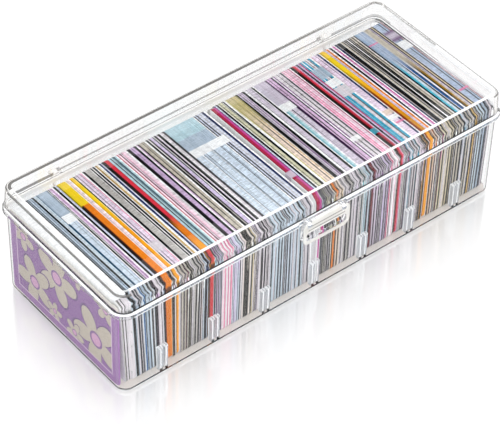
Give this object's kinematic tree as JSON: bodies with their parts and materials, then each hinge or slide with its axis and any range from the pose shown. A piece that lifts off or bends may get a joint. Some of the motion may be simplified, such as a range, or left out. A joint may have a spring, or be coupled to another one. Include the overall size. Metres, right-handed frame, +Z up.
{
  "type": "index card box",
  "caption": "Long clear plastic card box: a deep ribbed tray of upright index cards in coloured packs, under a hinged lid with a swing latch at the front.",
  "frame": {"origin": "middle of the tray's flat underside", "axes": "+X along the box to the right, -Y towards the latch, +Z up"},
  "size_m": [0.3562, 0.1598, 0.0974],
  "materials": {
    "clear_plastic": "polished",
    "latch_plastic": "polished",
    "divider_plastic": "satin",
    "end_card": "satin",
    "blank_cards": "matte",
    "slate_cards": "matte",
    "teal_grey_cards": "matte",
    "light_blue_cards": "matte",
    "lilac_cards": "matte",
    "pale_lavender_cards": "matte",
    "orange_guide": "matte",
    "cream_cards": "matte",
    "gold_guide": "matte",
    "pink_lilac_cards": "matte",
    "grey_cards": "matte",
    "striped_cards": "matte",
    "tan_cards": "matte",
    "navy_edge_cards": "matte",
    "scarlet_guide": "matte",
    "sky_cards": "matte",
    "rose_cards": "matte",
    "lavender_cards": "matte",
    "taupe_cards": "matte",
    "violet_cards": "matte",
    "mauve_cards": "matte",
    "pale_grey_cards": "matte",
    "steel_blue_cards": "matte",
    "ice_blue_cards": "matte",
    "white_cards": "matte",
    "crimson_guide": "matte",
    "navy_cards": "matte",
    "olive_cards": "matte",
    "peach_cards": "matte",
    "grey_lavender_cards": "matte",
    "silver_lilac_cards": "matte",
    "mauve_teal_cards": "matte",
    "plum_cards": "matte",
    "pearl_cards": "matte",
    "pink_lined_cards": "matte",
    "cherry_guide": "matte",
    "pale_mauve_cards": "matte",
    "teal_block_cards": "matte",
    "blush_cards": "matte",
    "amber_guide": "matte",
    "amber_lined_cards": "matte",
    "dark_plum_cards": "matte",
    "black_cards": "matte",
    "lined_taupe_cards": "matte",
    "azure_cards": "matte",
    "bronze_cards": "matte",
    "sand_cards": "matte",
    "frost_blue_cards": "matte"
  },
  "bodies": {
    "tray": {"tray": "clear_plastic", "middle_divider": "divider_plastic", "end_card": "end_card", "blank_cards": "blank_cards", "slate_cards": "slate_cards", "teal_grey_cards": "teal_grey_cards", "light_blue_cards": "light_blue_cards", "lilac_cards": "lilac_cards", "pale_lavender_cards": "pale_lavender_cards", "orange_guide": "orange_guide", "cream_cards": "cream_cards", "gold_guide": "gold_guide", "pink_lilac_cards": "pink_lilac_cards", "grey_cards": "grey_cards", "striped_cards": "striped_cards", "tan_cards": "tan_cards", "navy_edge_cards": "navy_edge_cards", "scarlet_guide": "scarlet_guide", "sky_cards": "sky_cards", "rose_cards": "rose_cards", "lavender_cards": "lavender_cards", "taupe_cards": "taupe_cards", "violet_cards": "violet_cards", "mauve_cards": "mauve_cards", "pale_grey_cards": "pale_grey_cards", "steel_blue_cards": "steel_blue_cards", "ice_blue_cards": "ice_blue_cards", "white_cards": "white_cards", "crimson_guide": "crimson_guide", "navy_cards": "navy_cards", "olive_cards": "olive_cards", "peach_cards": "peach_cards", "grey_lavender_cards": "grey_lavender_cards", "silver_lilac_cards": "silver_lilac_cards", "mauve_teal_cards": "mauve_teal_cards", "plum_cards": "plum_cards", "pearl_cards": "pearl_cards", "pink_lined_cards": "pink_lined_cards", "cherry_guide": "cherry_guide", "pale_mauve_cards": "pale_mauve_cards", "teal_block_cards": "teal_block_cards", "blush_cards": "blush_cards", "amber_guide": "amber_guide", "amber_lined_cards": "amber_lined_cards", "dark_plum_cards": "dark_plum_cards", "black_cards": "black_cards", "lined_taupe_cards": "lined_taupe_cards", "azure_cards": "azure_cards", "bronze_cards": "bronze_cards", "sand_cards": "sand_cards", "frost_blue_cards": "frost_blue_cards"},
    "lid": {"lid": "clear_plastic"},
    "latch": {"latch": "latch_plastic"}
  },
  "joints": [
    {"name": "lid_hinge", "type": "hinge", "parent": "tray", "child": "lid", "pos_m": [0, 0.0774, 0.0768], "axis": [-1, 0, 0], "range_deg": [0, 110]},
    {"name": "latch_swing", "type": "hinge", "parent": "lid", "child": "latch", "pos_m": [0, -0.07696, 0.078], "axis": [-1, 0, 0], "range_deg": [0, 75]}
  ]
}
